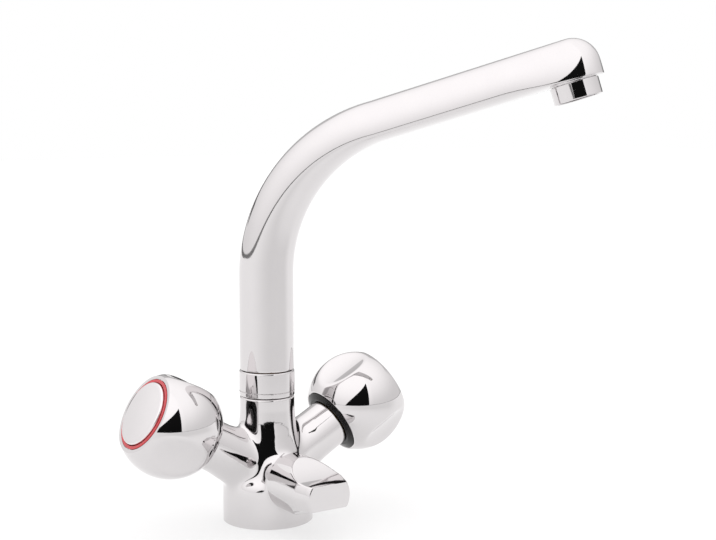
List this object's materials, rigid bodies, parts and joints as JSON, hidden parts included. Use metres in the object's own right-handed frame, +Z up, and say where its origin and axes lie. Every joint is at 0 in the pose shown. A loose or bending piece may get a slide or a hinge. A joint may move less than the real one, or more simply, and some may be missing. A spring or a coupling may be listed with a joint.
{
  "type": "kitchen mixer faucet",
  "caption": "Chromed single-hole kitchen mixer: round base, ball knobs on angled branches, high flattened swivel spout with aerator, small front shut-off valve handle.",
  "frame": {"origin": "centre of the base on the sink deck", "axes": "+Z up along the riser, -Y towards the user (the front valve points along -Y), -X the hot side, +X the cold side"},
  "size_m": [0.1991, 0.1638, 0.2531],
  "materials": {
    "body_chrome": "polished chrome plate on cast brass",
    "spout_chrome": "polished chrome plate on brass tube",
    "nut_chrome": "polished chrome plate",
    "knob_chrome": "polished chrome plate",
    "cap_chrome": "polished chrome plate, slightly domed",
    "handle_chrome": "polished chrome plate",
    "aerator_chrome": "polished chrome plate",
    "brass": "turned brass",
    "steel": "plain stainless steel",
    "rubber": "black sealing rubber",
    "black_plastic": "black moulded plastic, semi-matt",
    "ceramic": "lapped white ceramic",
    "nylon": "natural moulded plastic",
    "red_index": "red moulded plastic",
    "blue_index": "blue moulded plastic"
  },
  "bodies": {
    "base": {"faucet_body": "body_chrome", "base_seal": "rubber", "spout_nut": "nut_chrome", "spout_slip_ring": "nylon", "hot_cartridge": "brass", "hot_seat_seal": "rubber", "hot_fixed_disc": "ceramic", "cold_cartridge": "brass", "cold_seat_seal": "rubber", "cold_fixed_disc": "ceramic", "valve_cartridge": "brass", "valve_seat_seal": "rubber", "valve_fixed_disc": "ceramic"},
    "spout": {"spout_tube": "spout_chrome", "spout_insert": "brass", "spout_o_ring_lower": "rubber", "spout_o_ring_upper": "rubber", "spout_snap_ring": "steel", "aerator_shell": "aerator_chrome", "aerator_insert": "nylon", "aerator_gasket": "rubber"},
    "hot_handle": {"hot_moving_disc": "ceramic", "hot_spindle": "brass", "hot_stem_o_ring": "rubber", "hot_knob": "knob_chrome", "hot_rear_bush": "black_plastic", "hot_knob_screw": "steel", "hot_index_ring": "red_index", "hot_index_cap": "cap_chrome"},
    "cold_handle": {"cold_moving_disc": "ceramic", "cold_spindle": "brass", "cold_stem_o_ring": "rubber", "cold_knob": "knob_chrome", "cold_rear_bush": "black_plastic", "cold_knob_screw": "steel", "cold_index_ring": "blue_index", "cold_index_cap": "cap_chrome"},
    "valve_handle_body": {"valve_moving_disc": "ceramic", "valve_spindle": "brass", "valve_stem_o_ring": "rubber", "valve_handle": "handle_chrome", "valve_set_screw": "steel"}
  },
  "joints": [
    {"name": "spout_swivel", "type": "hinge", "parent": "base", "child": "spout", "pos_m": [0, 0, 0.07], "axis": [0, 0, 1], "continuous": true},
    {"name": "hot_knob_turn", "type": "hinge", "parent": "base", "child": "hot_handle", "pos_m": [0, 0, 0.0255], "axis": [-0.8746, 0, 0.4848], "range_deg": [0, 180]},
    {"name": "cold_knob_turn", "type": "hinge", "parent": "base", "child": "cold_handle", "pos_m": [0, 0, 0.0255], "axis": [0.8746, 0, 0.4848], "range_deg": [0, 180]},
    {"name": "valve_handle_turn", "type": "hinge", "parent": "base", "child": "valve_handle_body", "pos_m": [0, 0, 0.0254], "axis": [0, -1, 0], "range_deg": [0, 90]}
  ]
}
